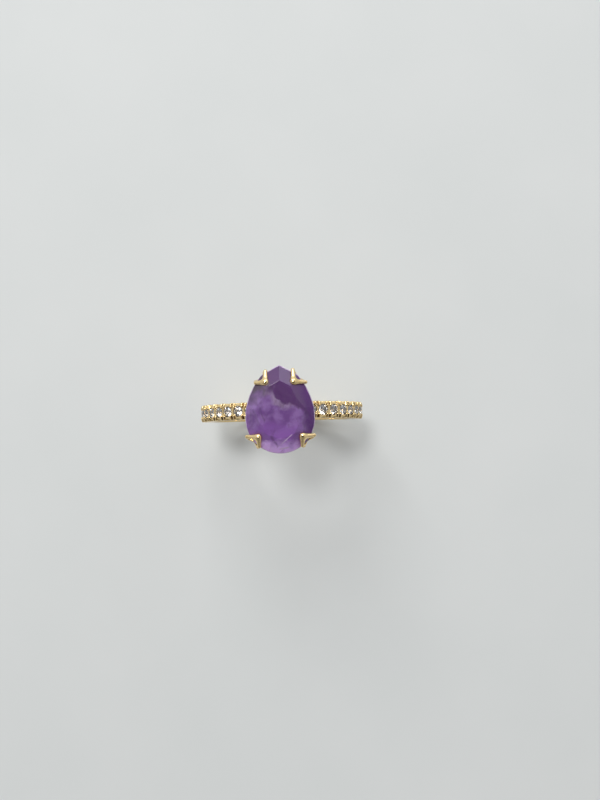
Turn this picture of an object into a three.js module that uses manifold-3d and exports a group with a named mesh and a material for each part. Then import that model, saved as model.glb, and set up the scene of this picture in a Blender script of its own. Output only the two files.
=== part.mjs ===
// A cocktail ring: a pear-cut violet stone in a four-claw basket, on a slim gold band
// whose shoulders are set with small clear brilliants.
//
// Millimetres. The finger hole's axis is Y and its centre is the origin. +Z points from the
// finger to the centre stone, +Y to the stone's pointed end, and +X to the right shoulder.

import * as THREE from "three";
import { ConvexGeometry } from "three/addons/geometries/ConvexGeometry.js";
import { mergeVertices } from "three/addons/utils/BufferGeometryUtils.js";
import Module from "manifold-3d";

const wasm = await Module();
wasm.setup();

// ---- Driving dimensions ----

const FINGER_R = 8.65; // ring size 7
const GAP = 0.03; // clearance between a stone or a soldered part and its seat

const BAND = {
  thickness: 1.5, // at the shoulders
  thin: 1.2, // at the back of the finger
  halfWidth: 1.0, // at the shoulders
  narrow: 0.8, // half-width at the back of the finger
  segments: 72,
};

const STONE = {
  width: 8.0,
  length: 10.2,
  flankR: 7.5, // radius of the long sides
  tipFace: 62, // azimuth of the two straight faces that meet in the point, degrees
  plainAfter: 62, // no star is cut after this main, so that it meets the next one in a ridge
  girdleZ: 12.3, // underside of the girdle
  girdle: 0.18, // its thickness
  crown: 1.15,
  crownAngle: 35,
  starAngle: 20,
  pavilion: 3.1,
  culetY: -0.9,
  breakShare: 0.24, // how far up from the culet the lower breaks reach
};

const MELEE = {
  r: 0.625,
  perShoulder: 7,
  firstAngle: 21.2, // from the top of the ring, degrees
  pitch: 8.9, // degrees
  girdleR: FINGER_R + 1.4, // distance of the girdle from the finger's axis
  girdle: 0.05,
  crown: 0.2,
  crownAngle: 34,
  starShare: 0.74, // radius of the star facets' outer points, as a share of the girdle's
  pavilion: 0.52,
  breakShare: 0.24, // radius of the lower breaks' inner points, likewise
};

const BEAD = { r: 0.2, tipR: 0.14, height: 0.5, top: FINGER_R + 1.68, y: 0.57, split: 0.235 };
const SCALLOP = { r: 0.42, y: 0.8 };

// Insets are measured inwards from the stone's outline.
const BASE = { outer: 1.45, inner: 2.1, top: 9.95 };
const RAIL = { outer: 0.5, inner: 1.1, bottom: 10.55, top: 11.05 };

const CLAW = {
  foot: 9.05, // z of the foot
  reach: 1.2, // how far the ears reach out from the chevron's corner
  corner: -0.38, // the chevron's inner corner
  ears: 1.06, // half-width over the ears
  earStart: 0.96, // where the chevron leaves the ears
  chevronZ: 12.6, // the chevron is cut above this height
  grooveTop: 0.45, // the groove's bottom at the top of the claw
  grooveAngle: 53, // half the groove's opening angle
  forkStart: 0.62, // how far out the fork below the ears starts
  forkDepth: 0.75, // how far below the girdle it reaches
  forkAngle: 40, // half its opening angle
};
const CLAWS = [
  { name: "claw_tip_right", x: 1.5, y: 2.97, turn: 45 },
  { name: "claw_tip_left", x: -1.5, y: 2.97, turn: 135 },
  { name: "claw_round_left", x: -2.43, y: -3.07, turn: 225 },
  { name: "claw_round_right", x: 2.43, y: -3.07, turn: 315 },
];

// ---- Materials ----

const gold = new THREE.MeshStandardMaterial({ color: 0xe8c268, metalness: 1.0, roughness: 0.22 });
const violet = new THREE.MeshStandardMaterial({ color: 0x7a5298, metalness: 0.0, roughness: 0.08 });
const clear = new THREE.MeshStandardMaterial({ color: 0xf2f2f0, metalness: 0.0, roughness: 0.03 });

// ---- Solids ----

const rad = THREE.MathUtils.degToRad;

/** A closed geometry as a solid that can be joined and cut. */
function solid(geometry) {
  const bare = geometry.index ? geometry.toNonIndexed() : geometry.clone();
  bare.deleteAttribute("normal");
  bare.deleteAttribute("uv");
  const merged = mergeVertices(bare, 1e-4);
  return new wasm.Manifold(
    new wasm.Mesh({
      numProp: 3,
      vertProperties: merged.attributes.position.array,
      triVerts: new Uint32Array(merged.index.array),
    }),
  );
}

/** A solid as a geometry. */
function geometryOf(shape) {
  const mesh = shape.getMesh();
  const geometry = new THREE.BufferGeometry();
  geometry.setAttribute("position", new THREE.BufferAttribute(mesh.vertProperties, 3));
  geometry.setIndex(new THREE.BufferAttribute(mesh.triVerts, 1));
  geometry.computeVertexNormals();
  return geometry;
}

/** A flat outline raised from z = bottom to z = top. */
function prism(shape, bottom, top, curveSegments = 12) {
  const options = { depth: top - bottom, bevelEnabled: false, curveSegments };
  return new THREE.ExtrudeGeometry(shape, options).translate(0, 0, bottom);
}

// ---- Pear outline ----

const roundR = STONE.width / 2;
const roundY = roundR - STONE.length / 2;
const flankX = roundR - STONE.flankR;
const tipNormal = direction(STONE.tipFace);
const tipReach = (STONE.length / 2) * tipNormal.y;

/** The horizontal unit vector at an azimuth in degrees. */
function direction(azimuth) {
  return new THREE.Vector3(Math.cos(rad(azimuth)), Math.sin(rad(azimuth)), 0);
}

/** The turn from the flank's end to the straight tip face that it meets, in degrees. */
function tipFaceSpan(grow) {
  const toFace = tipReach + grow - flankX * tipNormal.x - roundY * tipNormal.y;
  return THREE.MathUtils.radToDeg(Math.acos(toFace / (STONE.flankR + grow)));
}

/** The stone's outline, grown outwards: two straight tip faces, two flanks and a round end. */
function pearShape(grow = 0) {
  const flank = STONE.flankR + grow;
  const from = rad(STONE.tipFace - tipFaceSpan(grow));
  const shape = new THREE.Shape();
  shape.absarc(flankX, roundY, flank, from, 0, true);
  shape.absarc(0, roundY, roundR + grow, 0, -Math.PI, true);
  shape.absarc(-flankX, roundY, flank, Math.PI, Math.PI - from, true);
  shape.lineTo(0, (tipReach + grow) / tipNormal.y);
  shape.closePath();
  return shape;
}

/** The point of the pear outline that is furthest out towards an azimuth. */
function pearTangent(azimuth) {
  const normal = direction(azimuth);
  const side = Math.sign(normal.x);
  if (normal.y <= 0) return normal.multiplyScalar(roundR).add(new THREE.Vector3(0, roundY, 0));
  const fromX = side > 0 ? azimuth : 180 - azimuth;
  if (fromX > STONE.tipFace) return new THREE.Vector3(0, STONE.length / 2, 0);
  const onFlank = direction(Math.min(fromX, STONE.tipFace - tipFaceSpan(0)));
  onFlank.multiplyScalar(STONE.flankR).add(new THREE.Vector3(flankX, roundY, 0));
  return onFlank.multiply(new THREE.Vector3(side, 1, 1));
}

// ---- Faceting ----

/** The plane that touches the outline along its tangent at an azimuth and passes through a point. */
function facetThrough(touch, azimuth, point) {
  const along = direction(azimuth + 90);
  const normal = new THREE.Vector3().crossVectors(along, point.clone().sub(touch)).normalize();
  if (normal.dot(direction(azimuth)) < 0) normal.negate();
  return new THREE.Plane().setFromNormalAndCoplanarPoint(normal, touch);
}

/** The point where three planes meet. */
function meetPoint(a, b, c) {
  const bc = new THREE.Vector3().crossVectors(b.normal, c.normal);
  const ca = new THREE.Vector3().crossVectors(c.normal, a.normal);
  const ab = new THREE.Vector3().crossVectors(a.normal, b.normal);
  const sum = bc.multiplyScalar(-a.constant);
  sum.addScaledVector(ca, -b.constant).addScaledVector(ab, -c.constant);
  return sum.divideScalar(a.normal.dot(new THREE.Vector3().crossVectors(b.normal, c.normal)));
}

/** Grinds away what lies beyond a plane. */
function grind(blank, plane) {
  const size = 60;
  const block = new THREE.BoxGeometry(size, size, size).translate(0, 0, size / 2);
  block.applyQuaternion(
    new THREE.Quaternion().setFromUnitVectors(new THREE.Vector3(0, 0, 1), plane.normal),
  );
  const at = plane.normal.clone().multiplyScalar(-plane.constant);
  block.translate(at.x, at.y, at.z);
  return blank.subtract(solid(block));
}

/**
 * Cuts a blank as a brilliant. The girdle's underside is at z = 0. mains are the azimuths of the
 * main facets, in order; tangent gives the outline's point for an azimuth.
 */
function brilliant(blank, mains, tangent, cut) {
  const inset = cut.crown / Math.tan(rad(cut.crownAngle));
  const culet = new THREE.Vector3(0, cut.culetY, -cut.pavilion);
  const onTop = (azimuth) => tangent(azimuth).setZ(cut.girdle);
  const tableCorner = (azimuth) =>
    onTop(azimuth).addScaledVector(direction(azimuth), -inset).setZ(cut.girdle + cut.crown);
  const crownMain = (azimuth) => facetThrough(onTop(azimuth), azimuth, tableCorner(azimuth));
  const pavilionMain = (azimuth) => facetThrough(tangent(azimuth), azimuth, culet);
  const bottom = new THREE.Plane(new THREE.Vector3(0, 0, 1), 0);

  const facets = mains.flatMap((azimuth) => [crownMain(azimuth), pavilionMain(azimuth)]);
  mains.forEach((azimuth, i) => {
    const next = i + 1 < mains.length ? mains[i + 1] : mains[0] + 360;
    const a = tableCorner(azimuth);
    const edge = tableCorner(next).sub(a).normalize();
    const outward = new THREE.Vector3(edge.y, -edge.x, 0);
    const starNormal = outward.multiplyScalar(Math.sin(rad(cut.starAngle)));
    starNormal.z = Math.cos(rad(cut.starAngle));
    const star = new THREE.Plane().setFromNormalAndCoplanarPoint(starNormal, a);
    const upper = meetPoint(crownMain(azimuth), crownMain(next), star);
    const ridge = meetPoint(pavilionMain(azimuth), pavilionMain(next), bottom);
    const lower = culet.clone().lerp(ridge, cut.breakShare);
    const starred = azimuth !== cut.plainAfter;
    if (starred) facets.push(star);
    for (const quarter of [0.25, 0.75]) {
      const between = azimuth + (next - azimuth) * quarter;
      if (starred) facets.push(facetThrough(onTop(between), between, upper));
      facets.push(facetThrough(tangent(between), between, lower));
    }
  });
  return facets.reduce(grind, blank);
}

// ---- Centre stone ----

const pearMains = [-90, -48, -6, 25, 62, 118, 155, 186, 228];
const pearBlank = solid(prism(pearShape(), -STONE.pavilion, STONE.girdle + STONE.crown, 16));
const centreStone = brilliant(pearBlank, pearMains, pearTangent, STONE).translate([
  0,
  0,
  STONE.girdleZ,
]);

/** The centre stone a little larger, to cut the seats that clear it. */
function centreSeat() {
  const [width, length] = [STONE.width, STONE.length].map((side) => 1 + (2 * GAP) / side);
  const height = 1 + (2 * GAP) / (STONE.pavilion + STONE.girdle + STONE.crown);
  return centreStone
    .translate([0, 0, -STONE.girdleZ])
    .scale([width, length, height])
    .translate([0, 0, STONE.girdleZ]);
}

// ---- Shoulder stones ----

const meleeTop = MELEE.girdle + MELEE.crown;

/** A small eight-main brilliant about Z, with the underside of its girdle at z = 0. */
function meleeGeometry() {
  const mains = 8;
  const halfStep = Math.cos(Math.PI / mains);
  const tableR = MELEE.r - MELEE.crown / Math.tan(rad(MELEE.crownAngle));
  const starR = MELEE.starShare * MELEE.r;
  const breakR = MELEE.breakShare * MELEE.r;
  const starZ = MELEE.girdle + (MELEE.r - starR * halfStep) * Math.tan(rad(MELEE.crownAngle));
  const breakZ = -MELEE.pavilion * (1 - (breakR * halfStep) / MELEE.r);
  const points = [new THREE.Vector3(0, 0, -MELEE.pavilion)];
  for (let i = 0; i < 2 * mains; i++) {
    const out = direction((180 / mains) * i);
    const at = (radius, z) => out.clone().multiplyScalar(radius).setZ(z);
    points.push(at(MELEE.r, 0), at(MELEE.r, MELEE.girdle));
    if (i % 2 === 0) points.push(at(tableR, meleeTop));
    else points.push(at(starR, starZ), at(breakR, breakZ));
  }
  return new ConvexGeometry(points);
}

/** A sixteen-sided solid of revolution about Z, from [radius, z] points that rise. */
function turned(points) {
  const profile = points.map(([radius, z]) => new THREE.Vector2(radius, z));
  return solid(new THREE.LatheGeometry(profile, 16).rotateX(Math.PI / 2));
}

/** Angles of the stones down one shoulder, from the top of the ring. */
const meleeAngles = Array.from(
  { length: MELEE.perShoulder },
  (_, i) => MELEE.firstAngle + i * MELEE.pitch,
);

/** Moves a solid made about a small stone's place in the origin to an angle on the band. */
function onBand(shape, angle) {
  return shape.translate([0, 0, MELEE.girdleR]).rotate([0, angle, 0]);
}

// ---- Band ----

/** The band's section swept round the finger: flat-topped shoulders that turn into a domed back. */
function bandGeometry() {
  const r = FINGER_R;
  const t = BAND.thickness;
  const w = BAND.halfWidth;
  const half = [
    [r, -0.8 * w],
    [r + 0.07, -0.94 * w],
    [r + 0.4 * t, -w],
    [r + 0.85 * t, -0.95 * w],
    [r + t, -0.78 * w],
    [r + t, -0.4 * w],
  ];
  const mirrored = half.map(([x, y]) => [x, -y]).reverse();
  const profile = [...half, [r + t, 0], ...mirrored].map(([x, y]) => new THREE.Vector2(x, y));
  profile.push(profile[0].clone());
  const band = new THREE.LatheGeometry(profile, BAND.segments);
  const position = band.attributes.position;
  for (let i = 0; i < position.count; i++) {
    const [x, y, z] = [position.getX(i), position.getY(i), position.getZ(i)];
    const angle = THREE.MathUtils.radToDeg(Math.atan2(Math.abs(x), z));
    const back = THREE.MathUtils.smoothstep(angle, 82, 165);
    const height = Math.hypot(x, z) - r;
    const dome = 0.25 * back * Math.max(0, height / t) * (y / w) ** 2;
    const tall = height * THREE.MathUtils.lerp(1, BAND.thin / t, back) - dome;
    const scale = (r + tall) / (r + height);
    const wide = THREE.MathUtils.lerp(1, BAND.narrow / w, back);
    position.setXYZ(i, x * scale, y * wide, z * scale);
  }
  return band;
}

/** The seat drilled for a stone: a cone below its girdle and an open well above. */
function drilledSeat() {
  const wide = MELEE.r + GAP;
  return turned([
    [0, -MELEE.pavilion - GAP],
    [wide, -GAP],
    [wide, 2 * meleeTop],
    [0, 2 * meleeTop],
  ]);
}

/** The room that a bead leaves for the stone it holds, closing over the crown. */
function beadRoom() {
  const wide = MELEE.r + GAP;
  const narrow = wide - meleeTop / Math.tan(rad(MELEE.crownAngle));
  return turned([
    [0, -MELEE.pavilion - GAP],
    [wide, -GAP],
    [wide, MELEE.girdle + GAP],
    [narrow, MELEE.girdle + GAP + meleeTop],
    [0, MELEE.girdle + GAP + meleeTop],
  ]);
}

/** The pair of bites that open the band's edges beside a stone. */
function scallops() {
  const bite = new THREE.CylinderGeometry(SCALLOP.r, SCALLOP.r, BAND.halfWidth, 8);
  const right = solid(bite.translate(0, SCALLOP.y + BAND.halfWidth / 2, 0));
  return right.add(right.mirror([0, 1, 0]));
}

/** The pair of tapered beads that stand near the band's edges. */
function beadPair() {
  const post = new THREE.CylinderGeometry(BEAD.tipR, BEAD.r, BEAD.height, 6);
  post.rotateX(Math.PI / 2).translate(0, BEAD.y, BEAD.top - BEAD.height / 2);
  const right = solid(post);
  return right.add(right.mirror([0, 1, 0]));
}

/** The angles of one shoulder's beads: two between neighbouring stones, one beyond the end ones. */
function beadAngles() {
  const apart = THREE.MathUtils.radToDeg(BEAD.split / MELEE.girdleR);
  const before = meleeAngles.map((angle) => angle - MELEE.pitch / 2 + apart);
  const after = meleeAngles.map((angle) => angle + MELEE.pitch / 2 - apart);
  return [...before, ...after];
}

function makeShank() {
  const headRoom = solid(prism(pearShape(GAP - BASE.outer), 0, 2 * STONE.girdleZ));
  let shank = solid(bandGeometry()).subtract(headRoom);
  const opening = drilledSeat().add(scallops());
  for (const sign of [-1, 1]) {
    let beads = beadAngles()
      .map((angle) => beadPair().rotate([0, sign * angle, 0]))
      .reduce((all, pair) => all.add(pair));
    for (const angle of meleeAngles) {
      shank = shank.subtract(onBand(opening, sign * angle));
      beads = beads.subtract(onBand(beadRoom(), sign * angle));
    }
    shank = shank.add(beads);
  }
  return shank;
}

// ---- Basket ----

/** A pear-shaped collar between two insets. */
function collar(inset, bottom, top) {
  const outer = solid(prism(pearShape(-inset.outer), bottom, top));
  const inner = solid(prism(pearShape(-inset.inner), bottom - 1, top + 1));
  return outer.subtract(inner);
}

/** The finger hole as a cutter, a little longer than the stone. */
function fingerHole() {
  return solid(new THREE.CylinderGeometry(FINGER_R, FINGER_R, 1.2 * STONE.length, BAND.segments));
}

/** How far outwards from a claw's corner the stone's outline lies, along the claw's own line. */
function edgeOf(claw) {
  const corner = new THREE.Vector3(claw.x, claw.y, 0);
  return pearTangent(claw.turn).sub(corner).dot(direction(claw.turn));
}

/** A claw's section from foot to tip: a leaning stem that hooks over the girdle. */
function clawSide(edge, grow) {
  const girdle = STONE.girdleZ;
  const foot = CLAW.foot - grow;
  const side = new THREE.Shape();
  side.moveTo(edge - 1.2 + grow, foot);
  side.quadraticCurveTo(edge - 0.12 + grow, 10.6, CLAW.reach + grow, girdle - 0.1);
  side.quadraticCurveTo(CLAW.reach + 0.1, girdle + 0.5, 0.78, girdle + 0.95);
  side.quadraticCurveTo(0.4, girdle + 1.32, CLAW.corner, girdle + 1.24);
  side.lineTo(CLAW.corner, girdle + 0.5);
  side.lineTo(edge - 0.55 - grow, girdle - 0.35);
  side.quadraticCurveTo(edge - 0.65 - grow, 10.6, edge - 1.75 - grow, foot);
  side.closePath();
  return side;
}

/** A claw seen from outside: a narrow foot that opens into two ears at the girdle. */
function clawFront(grow) {
  const girdle = STONE.girdleZ;
  const foot = 0.34 + grow;
  const front = new THREE.Shape();
  front.moveTo(-foot, CLAW.foot - grow);
  front.lineTo(foot, CLAW.foot - grow);
  front.bezierCurveTo(foot, 10.8, 0.5 + grow, 11.3, CLAW.ears - 0.07, girdle - 0.15);
  front.lineTo(CLAW.ears, girdle + 1.5);
  front.lineTo(-CLAW.ears, girdle + 1.5);
  front.lineTo(0.07 - CLAW.ears, girdle - 0.15);
  front.bezierCurveTo(-0.5 - grow, 11.3, -foot, 10.8, -foot, CLAW.foot - grow);
  return front;
}

/** The stem of a claw in its own frame, +X outwards, grown sideways by an allowance. */
function clawStem(edge, grow = 0) {
  const side = prism(clawSide(edge, grow), -CLAW.ears, CLAW.ears, 5).rotateX(Math.PI / 2);
  const front = prism(clawFront(grow), -3, 3, 5).rotateX(Math.PI / 2).rotateZ(Math.PI / 2);
  return solid(side).intersect(solid(front));
}

/** The part of the plan that lies outside a claw's inner chevron. */
function chevronPlan() {
  const plan = new THREE.Shape();
  plan.moveTo(CLAW.earStart, -CLAW.ears);
  plan.lineTo(3, -CLAW.ears);
  plan.lineTo(3, CLAW.ears);
  plan.lineTo(CLAW.earStart, CLAW.ears);
  plan.lineTo(CLAW.corner + 0.32, 0.3);
  plan.quadraticCurveTo(CLAW.corner - 0.02, 0, CLAW.corner + 0.32, -0.3);
  plan.closePath();
  return plan;
}

/** The groove that splits a claw into two ears, deeper over the crown than at the girdle. */
function earGroove(edge) {
  const length = 3;
  const half = length * Math.tan(rad(CLAW.grooveAngle));
  const section = new THREE.Shape();
  section.moveTo(0, 0);
  section.lineTo(length, -half);
  section.lineTo(length, half);
  section.closePath();
  const topZ = STONE.girdleZ + 1.2;
  const bottomZ = STONE.girdleZ + STONE.girdle;
  const slope = (edge + 0.12 - CLAW.grooveTop) / (topZ - bottomZ);
  const groove = prism(section, bottomZ - 2, topZ + 1);
  groove.applyMatrix4(new THREE.Matrix4().makeShear(0, 0, 0, 0, -slope, 0));
  return solid(groove.translate(CLAW.grooveTop + slope * topZ, 0, 0));
}

/** The fork that opens the stem into two prongs under the ears, seen from outside as a V. */
function fork() {
  const top = CLAW.forkDepth + STONE.girdle;
  const half = top * Math.tan(rad(CLAW.forkAngle));
  const section = new THREE.Shape();
  section.moveTo(0, 0);
  section.lineTo(half, top);
  section.lineTo(-half, top);
  section.closePath();
  const opening = prism(section, CLAW.forkStart, 2).rotateX(Math.PI / 2).rotateZ(Math.PI / 2);
  return solid(opening.translate(0, 0, STONE.girdleZ - CLAW.forkDepth));
}

/** Turns a claw made in its own frame to its place about the stone. */
function placed(shape, claw) {
  return shape.rotate([0, 0, claw.turn]).translate([claw.x, claw.y, 0]);
}

const seatRoom = centreSeat();
const clawPlan = solid(prism(chevronPlan(), CLAW.chevronZ, STONE.girdleZ + 2, 5));
const stemRoom = solid(new THREE.BoxGeometry(8, 8, 8).translate(0, 0, CLAW.chevronZ - 4));
const clawRoom = clawPlan.add(stemRoom);
const claws = CLAWS.map((claw) => {
  const edge = edgeOf(claw);
  const shape = clawStem(edge).intersect(clawRoom).subtract(earGroove(edge)).subtract(fork());
  return { name: claw.name, shape: placed(shape, claw).subtract(seatRoom) };
});

/** Cuts the notches that the claws' stems are soldered into. */
function notched(shape) {
  return CLAWS.reduce(
    (left, claw) => left.subtract(placed(clawStem(edgeOf(claw), GAP), claw)),
    shape,
  );
}

const galleryBase = notched(collar(BASE, 7, BASE.top).subtract(fingerHole()));
const galleryRail = notched(collar(RAIL, RAIL.bottom, RAIL.top));

// ---- Assembly ----

const ring = new THREE.Group();

/** Adds one named piece. */
function addPiece(name, geometry, material) {
  const piece = new THREE.Mesh(geometry, material);
  piece.name = name;
  ring.add(piece);
  return piece;
}

addPiece("shank", geometryOf(makeShank()), gold);
addPiece("gallery_base", geometryOf(galleryBase), gold);
addPiece("gallery_rail", geometryOf(galleryRail), gold);
for (const claw of claws) addPiece(claw.name, geometryOf(claw.shape), gold);
addPiece("centre_stone", geometryOf(centreStone), violet);

const meleeShape = meleeGeometry();
for (const [shoulder, sign] of [["left", -1], ["right", 1]]) {
  meleeAngles.forEach((angle, i) => {
    const stone = addPiece(`pave_stone_${shoulder}_${i + 1}`, meleeShape, clear);
    stone.rotation.y = sign * rad(angle);
    stone.position.set(0, 0, MELEE.girdleR).applyAxisAngle(
      new THREE.Vector3(0, 1, 0),
      sign * rad(angle),
    );
  });
}

export default ring;
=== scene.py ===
"""A cocktail ring: a claw-set violet pear on a gold band with small clear stones on its shoulders.

Lengths are in millimetres until a mesh is made, and metres after that. The finger hole's axis is Y
and its centre is the origin. +Z points to the centre stone and +Y to the stone's pointed end.
The gold is modelled as smooth solid fields, negative inside the metal, that are then skinned.
"""

import math

import bpy
import numpy as np
from mathutils import Matrix, Vector


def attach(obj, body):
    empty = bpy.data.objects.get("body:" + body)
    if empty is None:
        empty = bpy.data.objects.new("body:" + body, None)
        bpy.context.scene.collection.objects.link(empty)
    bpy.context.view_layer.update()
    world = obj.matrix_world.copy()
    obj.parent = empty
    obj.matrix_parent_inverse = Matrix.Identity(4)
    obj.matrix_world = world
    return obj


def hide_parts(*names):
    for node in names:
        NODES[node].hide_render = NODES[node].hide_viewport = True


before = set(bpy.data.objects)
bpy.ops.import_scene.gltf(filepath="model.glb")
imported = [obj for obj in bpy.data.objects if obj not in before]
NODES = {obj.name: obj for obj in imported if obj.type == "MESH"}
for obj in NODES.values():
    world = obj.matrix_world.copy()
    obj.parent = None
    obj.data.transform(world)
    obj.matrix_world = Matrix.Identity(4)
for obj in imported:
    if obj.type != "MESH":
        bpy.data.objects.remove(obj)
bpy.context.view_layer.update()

MM = 0.001

# ---- Driving dimensions ----

FINGER_R = 8.65
BAND = dict(thickness=1.5, thin=1.2, half_width=1.0, narrow=0.8)
TOP_R = FINGER_R + BAND["thickness"]
STONE = dict(width=8.0, length=10.2, flank_r=7.5, tip_face=62.0, girdle_z=12.3, girdle=0.18)
SETTING = dict(first=21.2, pitch=8.9, count=7, stone_r=0.625, gap=0.02, girdle_depth=0.1)
U_CUT = dict(r=0.68, y=1.32, above=0.06)  # the bowl cut into the band's edge beside each stone
PRONG = dict(r=0.18, inner=0.56, outer=0.86, split=0.235)
BASE = dict(outer=1.45, inner=2.1, top=9.95)
RAIL = dict(outer=0.5, inner=1.1, bottom=10.55, top=11.05)
# Each claw's corner, its outward azimuth, and how far its two bent horns reach, as shares of full length.
CLAWS = {
    "claw_tip_right": dict(x=1.5, y=2.97, turn=45, horns=(1.06, 1.04)),
    "claw_tip_left": dict(x=-1.5, y=2.97, turn=135, horns=(0.98, 0.84)),
    "claw_round_left": dict(x=-2.43, y=-3.07, turn=225, horns=(1.05, 0.84)),
    "claw_round_right": dict(x=2.43, y=-3.07, turn=315, horns=(0.84, 1.05)),
}
# fork is half the opening angle below the ears, in degrees, and fork_depth its reach below the girdle.
CLAW = dict(foot=9.05, ears=1.06, reach=1.2, fan=0.92, fork=40, fork_depth=0.75)
HORN = dict(root_r=0.38, tip_r=0.2, heel_r=0.14)
BITE = 0.06  # how deep the claws press into the stone
NOTCH_OVERLAP = 0.04  # how far a collar runs into a claw, so that no seam shows
RUBBED_EDGE = 0.05  # width of a worn edge on the centre stone
CELL = 0.045  # size of the net that skins the metal
CAMERA = dict(lens=46.8, place=(2.48, -4.5, 132), target=(2.31, 1.57, 0), roll=1.4)


# ---- Smooth joins and cuts of fields ----


def smooth_max(a, b, k):
    """The greater of two fields, with the crease rounded over a width k."""
    h = np.maximum(k - np.abs(a - b), 0) / k
    return np.maximum(a, b) + h * h * k / 4


def smooth_min(a, b, k):
    """The lesser of two fields, with the crease rounded over a width k."""
    return -smooth_max(-a, -b, k)


def smoothstep(value, low, high):
    t = np.clip((value - low) / (high - low), 0, 1)
    return t * t * (3 - 2 * t)


def lerp(a, b, t):
    return a + (b - a) * t


def curve(points, steps=8):
    """The Bezier curve of the control points, as a list without its last point."""
    t = np.linspace(0, 1, steps, endpoint=False)[:, None]
    degree = len(points) - 1
    weights = [math.comb(degree, i) * t**i * (1 - t) ** (degree - i) for i in range(degree + 1)]
    return list(sum(w * np.array(p, float) for w, p in zip(weights, points)))


def outline_field(a, b, outline):
    """Signed distance of the points (a, b) from a closed outline."""
    best = np.full(a.shape, 1e9)
    inside = np.zeros(a.shape, bool)
    ends = np.roll(outline, -1, axis=0)
    for (x0, y0), (x1, y1) in zip(outline, ends):
        dx, dy = x1 - x0, y1 - y0
        t = np.clip(((a - x0) * dx + (b - y0) * dy) / (dx * dx + dy * dy + 1e-12), 0, 1)
        best = np.minimum(best, (a - x0 - t * dx) ** 2 + (b - y0 - t * dy) ** 2)
        crosses = (y0 > b) != (y1 > b)
        level = (b - y0) * dx / (dy if dy else 1e-12) + x0
        inside ^= crosses & (a < level)
    return np.where(inside, -1, 1) * np.sqrt(best)


# ---- Skinning a field ----


def surface_net(values):
    """Vertices, in cells of the grid, and quads of the surface where values change sign."""
    below = values < 0
    cells = tuple(n - 1 for n in values.shape)
    total = np.zeros(cells + (3,))
    count = np.zeros(cells)
    for axis in range(3):
        others = [i for i in range(3) if i != axis]
        for shift in ((0, 0), (0, 1), (1, 0), (1, 1)):
            start = [0, 0, 0]
            start[others[0]], start[others[1]] = shift
            low = tuple(slice(s, s + n) for s, n in zip(start, cells))
            start[axis] = 1
            high = tuple(slice(s, s + n) for s, n in zip(start, cells))
            crossing = below[low] != below[high]
            share = values[low][crossing] / (values[low][crossing] - values[high][crossing])
            total[crossing, axis] += share
            total[crossing, others[0]] += shift[0]
            total[crossing, others[1]] += shift[1]
            count[crossing] += 1
    used = count > 0
    number = np.full(cells, -1)
    number[used] = np.arange(used.sum())
    vertices = np.argwhere(used) + total[used] / count[used][:, None]

    quads = []
    for axis in range(3):
        one, two = np.eye(3, dtype=int)[(axis + 1) % 3], np.eye(3, dtype=int)[(axis + 2) % 3]
        step = np.eye(3, dtype=int)[axis]
        low = tuple(slice(0, -1) if i == axis else slice(1, -1) for i in range(3))
        high = tuple(slice(1, None) if i == axis else slice(1, -1) for i in range(3))
        at = np.argwhere(below[low] != below[high]) + 1 - step
        corners = [at, at - one, at - one - two, at - two]
        quad = np.stack([number[tuple(c.T)] for c in corners], axis=1)
        inward = below[tuple(at.T)]
        quad[~inward] = quad[~inward][:, ::-1]
        quads.append(quad)
    return vertices, np.concatenate(quads)


def slope(field, points, step=1e-3):
    """The field's gradient at the points."""
    parts = []
    for axis in range(3):
        shift = np.zeros(3)
        shift[axis] = step
        parts.append((field(points + shift) - field(points - shift)) / (2 * step))
    return np.stack(parts, axis=1)


def pulled(field, points, rounds=3):
    """The points moved onto the field's surface."""
    for _ in range(rounds):
        gradient = slope(field, points)
        square = np.maximum((gradient**2).sum(1), 0.1)
        move = (field(points) / square)[:, None] * gradient
        points = points - np.clip(move, -CELL, CELL)
    return points


def evened(points, quads):
    """Each point moved halfway to the middle of its neighbours."""
    total = np.zeros_like(points)
    count = np.zeros(len(points))
    for a, b in ((0, 1), (1, 2), (2, 3), (3, 0)):
        for one, other in ((a, b), (b, a)):
            np.add.at(total, quads[:, one], points[quads[:, other]])
            np.add.at(count, quads[:, one], 1)
    return (points + total / count[:, None]) / 2


def piece(name, vertices, faces, replaced, smooth=True):
    """A new piece, in millimetres, that stands for a CAD node."""
    mesh = bpy.data.meshes.new(name)
    mesh.from_pydata((np.asarray(vertices) * MM).tolist(), [], [list(f) for f in faces])
    mesh.polygons.foreach_set("use_smooth", [smooth] * len(mesh.polygons))
    made = bpy.data.objects.new(name, mesh)
    bpy.context.scene.collection.objects.link(made)
    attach(made, "root")
    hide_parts(replaced)
    return made


def skinned(name, node, axes, place, field, shape):
    """A gold piece over field = 0.

    place turns grid coordinates into points, and shape turns those into the row frame. The mesh
    keeps the field's own normals, and how hollow the metal is round each point.
    """
    grid = np.stack(np.meshgrid(*axes, indexing="ij"), axis=-1)
    net, quads = surface_net(field(place(grid)))
    spots = [np.interp(net[:, i], np.arange(len(axes[i])), axes[i]) for i in range(3)]
    points = pulled(field, place(np.stack(spots, axis=-1)))
    for _ in range(2):
        points = pulled(field, evened(points, quads), rounds=2)
    normals = slope(field, points)
    normals /= np.linalg.norm(normals, axis=1)[:, None]
    feel = 0.35  # how far off the surface the hollowness is felt, in millimetres
    hollow = 1 - np.clip(field(points + normals * feel) / feel, 0, 1)

    made = piece(name, shape(points), quads, node)
    made.data.attributes.new("hollow", "FLOAT", "POINT").data.foreach_set("value", hollow)
    turned = shape(normals) - shape(np.zeros((1, 3)))
    made.data.normals_split_custom_set_from_vertices(turned.tolist())
    return made


# ---- Shank ----


def same(points):
    """The points as they are, for a grid that is already in place."""
    return points


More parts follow.
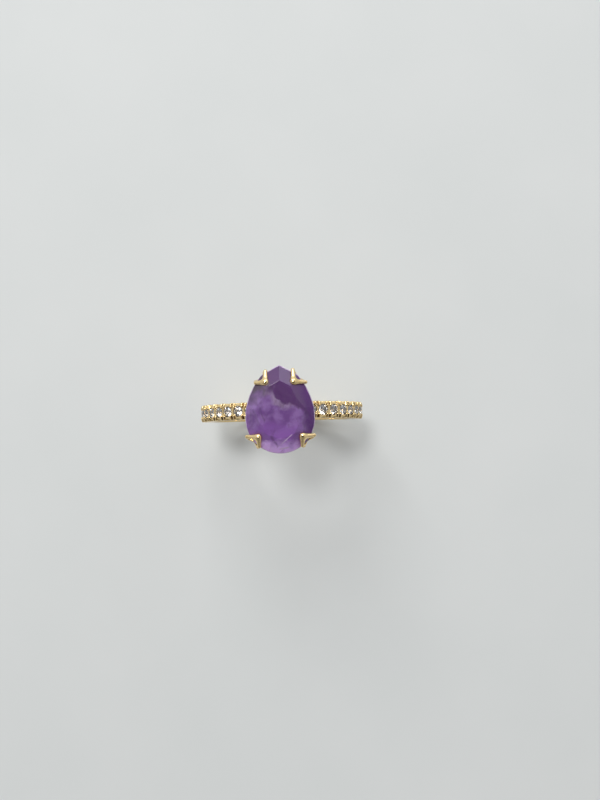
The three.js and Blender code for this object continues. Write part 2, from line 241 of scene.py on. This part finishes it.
def polar(grid):
    """Points from [distance from the finger's axis, angle from the top in degrees, y]."""
    angle = np.radians(grid[..., 1])
    return np.stack([grid[..., 0] * np.sin(angle), grid[..., 2], grid[..., 0] * np.cos(angle)], -1)


def band_field(angle, radius, y):
    """The plain band: square shoulders that turn into a narrower, domed back."""
    back = smoothstep(angle, 82, 165)
    tall = lerp(BAND["thickness"], BAND["thin"], back)
    wide = lerp(BAND["half_width"], BAND["narrow"], back)
    height = radius - FINGER_R + 0.1 * back * (y / wide) ** 2
    corner = np.where(height > tall / 2, lerp(0.16, 0.5, back), 0.2)
    across = y - (wide - corner)
    up = np.abs(height - tall / 2) - (tall / 2 - corner)
    outside = np.hypot(np.maximum(across, 0), np.maximum(up, 0))
    return outside + np.minimum(np.maximum(across, up), 0) - corner


def shank_field(points):
    """The band with its drilled seats, U-cut edges and walls split into prongs."""
    x, y, z = np.abs(points[..., 0]), np.abs(points[..., 1]), points[..., 2]
    angle, radius = np.degrees(np.arctan2(x, z)), np.hypot(x, z)
    first, pitch, count = SETTING["first"], SETTING["pitch"], SETTING["count"]

    def beside(middle):
        """Distances along and above the band's top, about an angle."""
        turn = np.radians(angle - middle)
        return radius * np.sin(turn), radius * np.cos(turn) - TOP_R

    stone = np.clip(np.round((angle - first) / pitch), 0, count - 1)
    along, above = beside(first + pitch * stone)
    from_stone = np.hypot(along, y)
    seat_r = SETTING["stone_r"] + SETTING["gap"]
    below_girdle = from_stone - seat_r - 1.15 * (above + SETTING["girdle_depth"] + 0.03)
    seat = np.maximum(from_stone - seat_r, 0.656 * below_girdle)
    over_crown = from_stone - seat_r + 1.48 * (above + SETTING["girdle_depth"] - 0.05)
    stone_room = np.maximum(from_stone - seat_r + 0.01, 0.56 * over_crown)
    from_bowl = np.sqrt(along**2 + (y - U_CUT["y"]) ** 2 + (above - U_CUT["above"]) ** 2)
    u_cut = from_bowl - U_CUT["r"]

    wall = np.clip(np.round((angle - first) / pitch + 0.5), 0, count)
    along, above = beside(first + pitch * (wall - 0.5))
    shared = (wall > 0) & (wall < count)
    from_split = np.where(shared, np.abs(along), along * np.where(wall == 0, 1, -1))
    past = y - np.clip(y, PRONG["inner"], PRONG["outer"])
    droop = above + 0.25 * np.maximum(y - PRONG["inner"], 0)
    prong = np.sqrt((from_split - PRONG["split"]) ** 2 + past**2 + droop**2) - PRONG["r"]
    split = 0.8 * np.abs(along) - 0.6 * (0.45 * (y - 0.5) + above - 0.04)
    split = np.maximum(split, 0.62 - y) + np.where(shared, 0, 1)

    in_base = np.where(z > 0, -pear_field(x, y) - BASE["outer"] - 0.05, -1)
    metal = np.maximum(band_field(angle, radius, y), in_base)
    metal = smooth_max(metal, -seat, 0.03)
    metal = smooth_max(metal, -u_cut, 0.04)
    metal = smooth_min(metal, smooth_max(prong, -stone_room, 0.01), 0.04)
    return smooth_max(metal, -split, 0.04)


def make_shank():
    """The shank's skin, on a net that is fine only round the stones."""
    fine_turn, plain_turn, coarse = 0.33, 2.0, 0.1
    # In degrees from the top: the band starts past the first, and its stones end before the last.
    first, last = 11.5, 82
    cut_r = TOP_R - 0.7
    shoulder = np.arange(first, last, fine_turn)
    back = np.arange(last, 360 - last, plain_turn)
    angles = np.concatenate([shoulder, back, 360 - shoulder[::-1]])
    radii = np.append(np.arange(FINGER_R - coarse, cut_r, coarse), np.arange(cut_r, TOP_R + 0.36, CELL))
    widths = np.arange(-BAND["half_width"] - 0.14, BAND["half_width"] + 0.18, CELL)
    return skinned("shank_metal", "shank", (radii, angles, widths), polar, shank_field, same)


# ---- Centre stone's shape ----

FLANK_X = STONE["width"] / 2 - STONE["flank_r"]
ROUND_Y = STONE["width"] / 2 - STONE["length"] / 2
GIRDLE_TOP = STONE["girdle_z"] + STONE["girdle"]


def pear_field(x, y):
    """Signed distance in plan from the stone's outline."""
    x = np.abs(x)
    tip = math.radians(STONE["tip_face"])
    flank = np.hypot(x - FLANK_X, y - ROUND_Y) - STONE["flank_r"]
    round_end = np.hypot(x, y - ROUND_Y) - STONE["width"] / 2
    face = x * math.cos(tip) + (y - STONE["length"] / 2) * math.sin(tip)
    return np.maximum(np.where(y > ROUND_Y, flank, round_end), face)


def facet_planes(node):
    """Outward normals and distances in millimetres of a convex CAD stone's facets."""
    mesh = NODES[node].data
    corners = np.array([vertex.co for vertex in mesh.vertices]) / MM
    normals = np.empty((0, 3))
    distances = []
    for face in sorted(mesh.polygons, key=lambda face: -face.area):
        normal = np.array(face.normal)
        distance = (corners @ normal).max()
        slanted = distance - normal @ corners[face.vertices[0]] > 0.002
        known = (normals @ normal > math.cos(math.radians(0.8))).any()
        if not slanted and not known:
            normals = np.vstack([normals, normal])
            distances.append(distance)
    return normals, np.array(distances)


FACETS = facet_planes("centre_stone")


def clipped(corners, heights):
    """What is left of a polygon where its corners' heights over a plane aren't positive."""
    left = []
    ahead = zip(np.roll(corners, -1, axis=0), np.roll(heights, -1))
    for corner, height, (next_corner, next_height) in zip(corners, heights, ahead):
        if height <= 0:
            left.append(corner)
        if (height > 0) != (next_height > 0):
            left.append(lerp(corner, next_corner, height / (height - next_height)))
    return np.array(left)


def facet(planes, index):
    """The corners of one facet: a wide square in its plane, cut back till no other plane cuts it."""
    normals, distances = planes
    normal = normals[index]
    side = np.cross(normal, (0, 0, 1) if abs(normal[2]) < 0.9 else (1, 0, 0))
    side /= np.linalg.norm(side)
    up = np.cross(normal, side)
    corners = normal * distances[index] + 2 * STONE["length"] * np.array([side, up, -side, -up])
    while len(corners) > 2:
        heights = corners @ normals.T - distances
        heights[:, index] = -1
        worst = heights.max(axis=0).argmax()
        if heights[:, worst].max() < 1e-6:
            return corners
        corners = clipped(corners, heights[:, worst])
    return []


def rubbed(planes, width):
    """The planes with one more along each edge, which rubs it down to a width in millimetres."""
    normals, distances = planes
    added = []
    for index in range(len(distances)):
        corners = facet(planes, index)
        for middle in (corners + np.roll(corners, -1, axis=0)) / 2 if len(corners) else ():
            shared = np.abs(normals @ middle - distances) < 1e-4
            shared[index] = False
            for other in np.flatnonzero(shared):
                half = np.arccos(np.clip(normals[index] @ normals[other], -1, 1)) / 2
                if other > index and half > math.radians(2):
                    normal = (normals[index] + normals[other]) / (2 * math.cos(half))
                    added.append((*normal, middle @ normal - width / 2 * math.tan(half)))
    added = np.array(added)
    return np.vstack([normals, added[:, :3]]), np.append(distances, added[:, 3])


def stone_field(points):
    """The centre stone as the meeting of its facets."""
    normals, distances = FACETS
    field = np.full(points.shape[:-1], -1e9)
    for normal, distance in zip(normals, distances):
        field = np.maximum(field, points @ normal - distance)
    return field


# ---- Claws ----


def claw_edge(claw):
    """How far outwards from a claw's corner the stone's outline lies, along the claw's line."""
    turn = math.radians(claw["turn"])
    reach = np.linspace(0, 2, 2001)
    across = pear_field(claw["x"] + reach * math.cos(turn), claw["y"] + reach * math.sin(turn))
    return reach[np.argmin(np.abs(across))]


def stem_field(points, edge):
    """A claw's stem and hook in its own frame, +X outwards, before its top is shaped."""
    u, v, z = points[..., 0], np.abs(points[..., 1]), points[..., 2]
    foot, reach, fan, girdle = CLAW["foot"], CLAW["reach"], CLAW["fan"], STONE["girdle_z"]
    side = [
        *curve([(edge - 1.2, foot), (edge - 0.12, foot + 1.55), (reach, girdle - 0.1)]),
        *curve([(reach, girdle - 0.1), (reach + 0.1, girdle + 0.5), (0.78, girdle + 0.95)]),
        *curve([(0.78, girdle + 0.95), (0.4, girdle + 1.34), (-0.38, girdle + 1.28)]),
        (-0.38, girdle + 1.28),
        (-0.38, girdle + 0.5),
        *curve([(edge - 0.55, girdle - 0.35), (edge - 0.65, foot + 1.55), (edge - 1.75, foot)]),
        (edge - 1.75, foot),
    ]
    front = [
        (-1, foot),
        *curve([(0.34, foot), (0.34, foot + 1.75), (0.5, foot + 2.25), (fan, girdle)]),
        (fan, girdle),
        (fan, girdle + 1.5),
        (-1, girdle + 1.5),
    ]
    from_side = outline_field(u, z, np.array(side))
    from_front = outline_field(v, z, np.array(front))
    return smooth_max(from_side, from_front, 0.22)


def horn_field(points, start, end, start_r, end_r):
    """A straight tapering rod with rounded ends."""
    along = np.subtract(end, start)
    share = np.clip((points - start) @ along / (along @ along), 0, 1)
    near = start + share[..., None] * along
    return np.linalg.norm(points - near, axis=-1) - lerp(start_r, end_r, share)


def claw_field(points, edge, horns):
    """A claw in its own frame: a stem that forks, and two horns bent over the stone's edge."""
    girdle = STONE["girdle_z"]
    corner = np.array([0.16, 0, girdle + 0.82])
    bent = []
    for sign, length in zip((-1, 1), horns):
        tip = np.array([edge * 0.5 + 0.54, sign * (CLAW["ears"] - 0.1), girdle + 0.32])
        end = lerp(corner, tip, length)
        heel = np.array([edge + 0.1, sign * 0.82 * length, girdle - 0.35])
        over = horn_field(points, corner, end, HORN["root_r"], HORN["tip_r"])
        down = horn_field(points, end, heel, HORN["tip_r"], HORN["heel_r"])
        bent.append(smooth_min(over, down, 0.1))
    hooks = smooth_min(*bent, 0.3)

    v, z = np.abs(points[..., 1]), points[..., 2] - girdle
    turn = math.radians(CLAW["fork"])
    fork = v * math.cos(turn) - (z + CLAW["fork_depth"]) * math.sin(turn)
    fan = smooth_max(stem_field(points, edge), z - 0.1, 0.2)
    return smooth_min(smooth_max(fan, -fork, 0.16), hooks, 0.14)


def claw_frame(claw):
    """Functions that turn points from a claw's frame to the row frame, and back."""
    turn = math.radians(claw["turn"])
    outwards = (math.cos(turn), math.sin(turn), 0)
    sideways = (-math.sin(turn), math.cos(turn), 0)
    axes = np.array([outwards, sideways, (0, 0, 1)])
    corner = np.array([claw["x"], claw["y"], 0])
    return lambda points: points @ axes + corner, lambda points: (points - corner) @ axes.T


def make_claw(name, claw):
    """One claw, hollowed to sit round the stone."""
    edge = claw_edge(claw)
    to_row, _ = claw_frame(claw)

    def field(points):
        stone_room = -stone_field(to_row(points)) - BITE
        return smooth_max(claw_field(points, edge, claw["horns"]), stone_room, 0.02)

    step = 0.042
    low_z, high_z = CLAW["foot"] - 0.1, STONE["girdle_z"] + 1.55
    axes = (np.arange(-1, 1.5, step), np.arange(-1.4, 1.41, step), np.arange(low_z, high_z, step))
    return skinned(f"{name}_metal", name, axes, same, field, to_row)


# ---- Basket ----


def collar_field(points, inset, bottom, top):
    """A pear-shaped collar between two insets, notched where the claws pass."""
    x, y, z = points[..., 0], points[..., 1], points[..., 2]
    plan = pear_field(x, y)
    walls = smooth_max(plan + inset["outer"], -plan - inset["inner"], 0.1)
    floor = np.maximum(bottom - z, FINGER_R - np.hypot(x, z))
    metal = smooth_max(walls, smooth_max(floor, z - top, 0.1), 0.14)
    for claw in CLAWS.values():
        _, from_row = claw_frame(claw)
        stem = stem_field(from_row(points), claw_edge(claw))
        metal = np.maximum(metal, -stem - NOTCH_OVERLAP)
    return metal


def make_collar(name, inset, bottom, top):
    """The base or the rail of the basket."""

    def field(points):
        return collar_field(points, inset, bottom, top)

    step = 0.06
    half_width, half_length = STONE["width"] / 2, STONE["length"] / 2
    axes = (
        np.arange(-half_width, half_width, step),
        np.arange(-half_length, half_length, step),
        np.arange(bottom - 0.1, top + 0.16, step),
    )
    return skinned(f"{name}_metal", name, axes, same, field, same)


# ---- Materials ----


class Shader:
    """A new material's node tree, with short calls for the nodes that the materials share."""

    def __init__(self, name):
        self.material = bpy.data.materials.new(name)
        self.material.use_nodes = True
        self.tree = self.material.node_tree
        self.surface = self.tree.nodes["Principled BSDF"]

    def node(self, kind, inputs=(), **settings):
        """A node with its settings and, by name or number, its input values or links."""
        made = self.tree.nodes.new(kind)
        for name, value in settings.items():
            setattr(made, name, value)
        for name, value in dict(inputs).items():
            self.set(made.inputs[name], value)
        return made

    def set(self, socket, value):
        """Links a node's output to the socket, or sets the socket to a plain value."""
        if isinstance(value, bpy.types.NodeSocket):
            self.tree.links.new(value, socket)
        else:
            socket.default_value = value

    def noise(self, per_mm, detail=3.0, warp=0.0, stretch=(1, 1, 1), shift=(0, 0, 0)):
        """Solid noise through the piece, with per_mm features to the millimetre."""
        scale = [s * per_mm / MM for s in stretch]
        where = self.node("ShaderNodeTexCoord").outputs["Object"]
        moved = self.node("ShaderNodeMapping", {"Vector": where, "Scale": scale, "Location": shift})
        inputs = {"Vector": moved.outputs[0], "Scale": 1.0, "Detail": detail, "Distortion": warp}
        return self.node("ShaderNodeTexNoise", inputs).outputs["Fac"]

    def ramp(self, value, low, high, to_low=0.0, to_high=1.0):
        """value between low and high, mapped smoothly to to_low and to_high."""
        inputs = {"Value": value, 1: low, 2: high, 3: to_low, 4: to_high}
        made = self.node("ShaderNodeMapRange", inputs, interpolation_type="SMOOTHSTEP")
        return made.outputs[0]

    def blend(self, share, first, second):
        """A colour share of the way from first to second."""
        inputs = {"Factor": share, 6: first, 7: second}
        return self.node("ShaderNodeMix", inputs, data_type="RGBA").outputs[2]

    def bump(self, height, depth_mm):
        """Raises the surface by height, up to a depth in millimetres."""
        inputs = {"Height": height, "Distance": depth_mm * MM}
        self.set(self.surface.inputs["Normal"], self.node("ShaderNodeBump", inputs).outputs[0])


GOLD = dict(
    deep=(0.86, 0.64, 0.31, 1),
    pale=(0.90, 0.69, 0.37, 1),
    # Dark brown for the hollows: painted shade, with some grime.
    hollow_shade_and_grime=(0.22, 0.125, 0.045, 1),
)


def make_gold():
    """Polished pale yellow gold, a little worn, and darker where the metal is hollow: painted shade there,
    with some grime.
    """
    shader = Shader("polished_gold")
    hollow = shader.node("ShaderNodeAttribute", attribute_name="hollow").outputs["Fac"]
    # Painted shade, with some grime: the gold darkens where the hollow attribute is high.
    hollow_shade_and_grime = shader.ramp(hollow, 0.15, 0.85)
    wear = shader.noise(1.4, detail=5.0)
    scratches = shader.noise(9.0, detail=4.0, stretch=(0.12, 1, 1))
    clean = shader.blend(shader.ramp(wear, 0.35, 0.65), GOLD["deep"], GOLD["pale"])
    surface = shader.surface.inputs
    shader.set(surface["Base Color"], shader.blend(hollow_shade_and_grime, clean, GOLD["hollow_shade_and_grime"]))
    shader.set(surface["Roughness"], shader.ramp(scratches, 0.3, 0.75, 0.10, 0.21))
    shader.set(surface["Metallic"], 1.0)
    shader.bump(scratches, 0.002)
    return shader.material


AMETHYST = dict(
    dark_cloud=(0.18, 0.077, 0.275, 1),
    pale_cloud=(0.31, 0.17, 0.435, 1),
    lower_half=(0.28, 0.115, 0.425, 1),
    # A painted highlight: the bright lavender crescent near the round end.
    round_end_highlight=(0.80, 0.51, 1.0, 1),
    tip=(0.112, 0.074, 0.118, 1),
    # A painted highlight: the pale streak along the dark zone's edge.
    zone_edge_highlight=(0.36, 0.25, 0.42, 1),
    dark_zone=(0.125, 0.05, 0.175, 1),
    right_edge=(0.095, 0.012, 0.165, 1),
    wisp=(0.11, 0.055, 0.14, 1),
    crack=(0.66, 0.48, 0.74, 1),
    # A painted highlight: the pale line where the girdle catches light.
    girdle_highlight=(0.62, 0.5, 0.7, 1),
)
# Straight cracks in the centre stone: direction across, place across, start and end along, width.
CRACKS = [
    ((0.65, -0.76, 0), 3.12, -3.17, -0.7, 0.06),
    ((0.2, -0.98, 0), 4.49, -1.18, 0.39, 0.12),
    ((-0.12, -0.99, 0), 3.75, -1.57, -0.04, 0.05),
]


def make_amethyst():
    """Milky violet quartz: greyish at the point, with one dark zone, and painted highlights: a bright
    crescent at the round end, a pale streak beside the dark zone and a pale line at the girdle.
    """
    shader = Shader("milky_amethyst")
    where = shader.node("ShaderNodeTexCoord").outputs["Object"]
    warp = shader.noise(0.7, detail=4.0)

    def zone(direction, start, end, bend):
        """0 before start and 1 after end, in millimetres along a direction, with a wavy front."""
        along = shader.node(
            "ShaderNodeVectorMath",
            {0: where, 1: Vector(direction).normalized() / MM},
            operation="DOT_PRODUCT",
        )
        inputs = {0: shader.ramp(warp, 0.3, 0.7, -bend, bend), 1: along.outputs["Value"]}
        bent = shader.node("ShaderNodeMath", inputs, operation="ADD")
        return shader.ramp(bent.outputs[0], start, end)

    def both(first, second):
        """The product of two shares."""
        return shader.node("ShaderNodeMath", {0: first, 1: second}, operation="MULTIPLY").outputs[0]

    def crack(across, place, start, end, width):
        """A thin straight streak that fades at its ends."""
        across = Vector(across)
        along = Vector((-across.y, across.x, 0))
        streak = both(zone(across, place - width, place, 0.05), zone(-across, -place - width, -place, 0.05))
        ends = both(zone(along, start, start + 0.3, 0.1), zone(-along, -end, -end + 0.5, 0.1))
        return both(streak, ends)

    # A painted highlight runs as a pale streak along the dark zone's left edge.
    across_zone_edge = (0.906, 0.424, 0)
    zone_edge_highlight = both(zone(across_zone_edge, -0.9, -0.1, 0.2), zone((0.3, -1, 0), -2.6, -1.4, 0.3))
    # These two masks pick out the girdle band for its painted highlight.
    above_girdle = zone((0, 0, 1), STONE["girdle_z"] - 0.12, STONE["girdle_z"] - 0.04, 0.01)
    below_crown = zone((0, 0, -1), -GIRDLE_TOP - 0.09, -GIRDLE_TOP - 0.03, 0.01)
    wisps = shader.noise(0.8, detail=5.0, warp=0.6, stretch=(1.7, 0.7, 1))
    layers = [
        ("lower_half", zone((-0.1, -1, 0), 1.0, 4.0, 0.6)),
        # Painted highlight near the round end.
        ("round_end_highlight", zone((-0.12, -1, 0), 3.3, 4.5, 0.3)),
        ("tip", zone((-0.25, 1, 0), 1.2, 3.2, 0.5)),
        ("zone_edge_highlight", both(zone_edge_highlight, zone((0.1, 1, 0), -0.2, 0.6, 0.4))),
        ("dark_zone", both(zone(across_zone_edge, 0.0, 0.4, 0.25), zone((0.53, 0.85, 0), 0.75, 1.1, 0.3))),
        ("right_edge", zone((1, 0.15, 0), 1.9, 3.4, 0.3)),
        ("wisp", shader.ramp(wisps, 0.52, 0.72, 0, 0.5)),
        *[("crack", crack(*shape)) for shape in CRACKS],
        # Painted highlight along the girdle.
        ("girdle_highlight", both(above_girdle, below_crown)),
    ]
    clouds = shader.ramp(shader.noise(0.75, detail=7.0, warp=0.25, shift=(3, 1, 2)), 0.36, 0.68)
    color = shader.blend(clouds, AMETHYST["dark_cloud"], AMETHYST["pale_cloud"])
    for name, share in layers:
        color = shader.blend(share, color, AMETHYST[name])

    surface = shader.surface.inputs
    shader.set(surface["Base Color"], color)
    shader.set(surface["Roughness"], shader.ramp(shader.noise(2.5), 0.35, 0.7, 0.06, 0.18))
    surface["IOR"].default_value = 1.55
    surface["Transmission Weight"].default_value = 0.25
    surface["Subsurface Weight"].default_value = 0.5
    surface["Subsurface Radius"].default_value = (1.0, 0.6, 1.2)
    surface["Subsurface Scale"].default_value = 0.8 * MM
    return shader.material


def make_clear():
    """Clear colourless glass-like stone, warmed by a painted reflection of its gold seat."""
    shader = Shader("clear_brilliant")
    surface = shader.surface.inputs
    # Painted reflection: a warm tint that stands in for the gold seat seen through the stone.
    gold_reflection_tint = shader.blend(shader.noise(0.9), (0.98, 0.94, 0.90, 1), (1.0, 0.92, 0.80, 1))
    shader.set(surface["Base Color"], gold_reflection_tint)
    surface["Roughness"].default_value = 0.0
    surface["IOR"].default_value = 2.3
    surface["Transmission Weight"].default_value = 1.0
    return shader.material


# ---- Stones ----


def make_centre_stone():
    """The centre stone with the edges of its facets rubbed."""
    planes = rubbed(FACETS, RUBBED_EDGE)
    facets = [facet(planes, index) for index in range(len(planes[1]))]
    facets = [corners for corners in facets if len(corners)]
    ends = np.cumsum([len(corners) for corners in facets])
    faces = [range(end - len(corners), end) for end, corners in zip(ends, facets)]
    made = piece("centre_gem", np.concatenate(facets), faces, "centre_stone", smooth=False)
    made.modifiers.new("weld", "WELD").merge_threshold = 0.01 * MM
    return made


def polish(stone, material):
    """Gives a small CAD stone its material, and rubs its facet edges a little."""
    stone.data.materials.clear()
    stone.data.materials.append(material)
    stone.modifiers.new("weld", "WELD").merge_threshold = 0.0005 * MM
    flat = stone.modifiers.new("facets", "DECIMATE")
    flat.decimate_type = "DISSOLVE"
    flat.angle_limit = math.radians(0.5)
    rub = stone.modifiers.new("rubbed_edges", "BEVEL")
    rub.width = 0.006 * MM
    rub.segments = 1
    rub.limit_method = "ANGLE"
    rub.angle_limit = math.radians(3)


# ---- Build ----

gold = make_gold()
metal = [make_shank()]
metal.append(make_collar("gallery_base", BASE, 7.8, BASE["top"]))
metal.append(make_collar("gallery_rail", RAIL, RAIL["bottom"], RAIL["top"]))
metal += [make_claw(name, claw) for name, claw in CLAWS.items()]
for made in metal:
    made.data.materials.append(gold)

make_centre_stone().data.materials.append(make_amethyst())
clear = make_clear()
for name, node in NODES.items():
    if name.startswith("pave_stone"):
        polish(node, clear)


# ---- Floor, light and camera ----


def make_floor():
    """A plain pale floor under the upright ring, 8 metres wide."""
    bpy.ops.mesh.primitive_plane_add(size=8, location=(0, 0, -(FINGER_R + BAND["thin"]) * MM))
    floor = bpy.context.object
    floor.name = "floor"
    shader = Shader("pale_floor")
    tone = shader.blend(shader.noise(0.05), (0.62, 0.64, 0.63, 1), (0.68, 0.69, 0.68, 1))
    shader.set(shader.surface.inputs["Base Color"], tone)
    shader.surface.inputs["Roughness"].default_value = 0.85
    floor.data.materials.append(shader.material)


def softbox(name, place, size, power, color=(1, 1, 1)):
    """A square soft light, in metres, that faces the ring."""
    light = bpy.data.lights.new(name, "AREA")
    light.size = size
    light.energy = power
    light.color = color
    lamp = bpy.data.objects.new(name, light)
    bpy.context.scene.collection.objects.link(lamp)
    lamp.location = place
    lamp.rotation_euler = (-Vector(place)).to_track_quat("-Z", "Y").to_euler()


def make_room():
    """A pale room that is bright towards +Y and dark overhead."""
    world = bpy.data.worlds.new("studio")
    world.use_nodes = True
    tree = world.node_tree
    where = tree.nodes.new("ShaderNodeTexCoord")
    parts = tree.nodes.new("ShaderNodeSeparateXYZ")
    tree.links.new(where.outputs["Generated"], parts.inputs[0])

    height = tree.nodes.new("ShaderNodeValToRGB")
    tree.links.new(parts.outputs["Z"], height.inputs[0])
    horizon, overhead = height.color_ramp.elements
    horizon.position = 0.0
    horizon.color = (0.9, 0.95, 1.0, 1)
    overhead.position = 0.92
    overhead.color = (0.10, 0.10, 0.11, 1)
    height.color_ramp.elements.new(0.55).color = (1.0, 1.0, 1.0, 1)

    side = tree.nodes.new("ShaderNodeMapRange")
    side.inputs["From Min"].default_value = -1
    side.inputs["To Min"].default_value = 0.25
    side.inputs["To Max"].default_value = 1.0
    tree.links.new(parts.outputs["Y"], side.inputs["Value"])

    background = tree.nodes["Background"]
    tree.links.new(height.outputs["Color"], background.inputs["Color"])
    tree.links.new(side.outputs[0], background.inputs["Strength"])
    bpy.context.scene.world = world


def light_up():
    """The room, a soft window behind the ring, a smaller key overhead and a cool fill."""
    make_room()
    softbox("window", (-0.12, 0.45, 0.42), 0.35, 2.1)
    softbox("key", (-0.08, 0.12, 0.5), 0.1, 0.85)
    softbox("side_window", (0.27, 0.5, 0.2), 0.3, 0.34, (0.85, 0.93, 1.0))
    bpy.context.scene.view_settings.view_transform = "Standard"


def place_camera():
    """A camera that looks down on the stone, with a slight lean and roll."""
    data = bpy.data.cameras.new("camera")
    data.lens = CAMERA["lens"]
    data.sensor_width = 36
    data.clip_start = 0.005
    camera = bpy.data.objects.new("camera", data)
    bpy.context.scene.collection.objects.link(camera)
    bpy.context.scene.camera = camera
    place = Vector(CAMERA["place"]) * MM
    target = Vector(CAMERA["target"]) * MM
    roll = math.radians(CAMERA["roll"])
    back = (place - target).normalized()
    right = Vector((math.sin(roll), math.cos(roll), 0)).cross(back).normalized()
    turned = Matrix((right, back.cross(right), back)).transposed()
    camera.matrix_world = Matrix.Translation(place) @ turned.to_4x4()


make_floor()
light_up()
place_camera()
